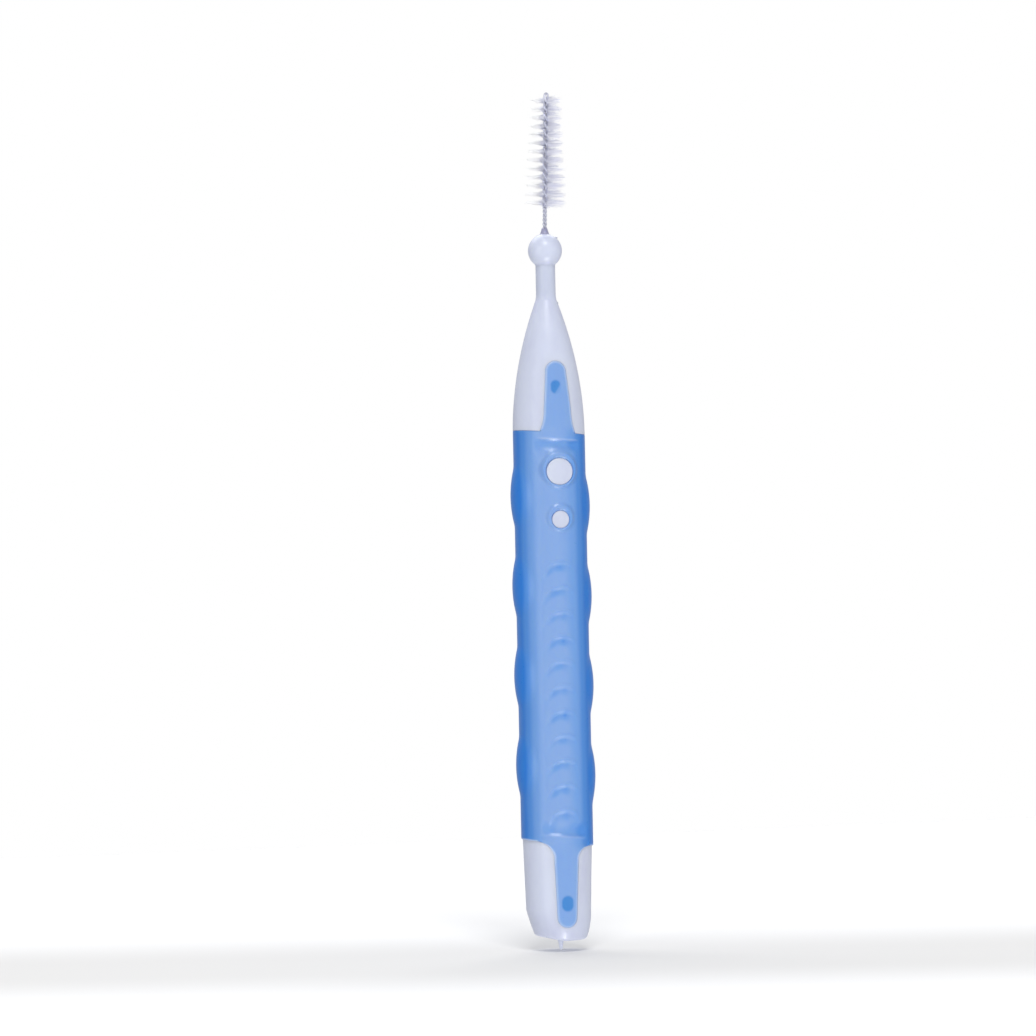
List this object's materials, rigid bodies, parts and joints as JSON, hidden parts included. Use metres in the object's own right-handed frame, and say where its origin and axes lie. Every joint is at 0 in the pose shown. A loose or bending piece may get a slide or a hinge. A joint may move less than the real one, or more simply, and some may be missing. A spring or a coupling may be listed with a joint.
{
  "type": "interdental brush",
  "caption": "Slim interdental brush: a tapered bristle head on a twisted wire, a ball-topped neck and a straight hard-and-soft moulded handle with a stepped grip.",
  "frame": {"origin": "middle of the soft grip, on the axis of the handle", "axes": "+Z along the handle towards the bristle tip, -Y out of the face with the pegs"},
  "size_m": [0.0084, 0.0078, 0.0914],
  "materials": {
    "core": "satin moulded polypropylene, slightly translucent white",
    "sleeve": "satin translucent blue thermoplastic elastomer",
    "wire": "bright drawn stainless wire",
    "bristle": "clear white nylon filament"
  },
  "bodies": {
    "root": {"handle_core": "core", "grip_sleeve": "sleeve", "brush_wire": "wire", "bristle_turn_01": "bristle", "bristle_turn_02": "bristle", "bristle_turn_03": "bristle", "bristle_turn_04": "bristle", "bristle_turn_05": "bristle", "bristle_turn_06": "bristle", "bristle_turn_07": "bristle", "bristle_turn_08": "bristle", "bristle_turn_09": "bristle", "bristle_turn_10": "bristle", "bristle_turn_11": "bristle", "bristle_turn_12": "bristle", "bristle_turn_13": "bristle"}
  },
  "joints": []
}
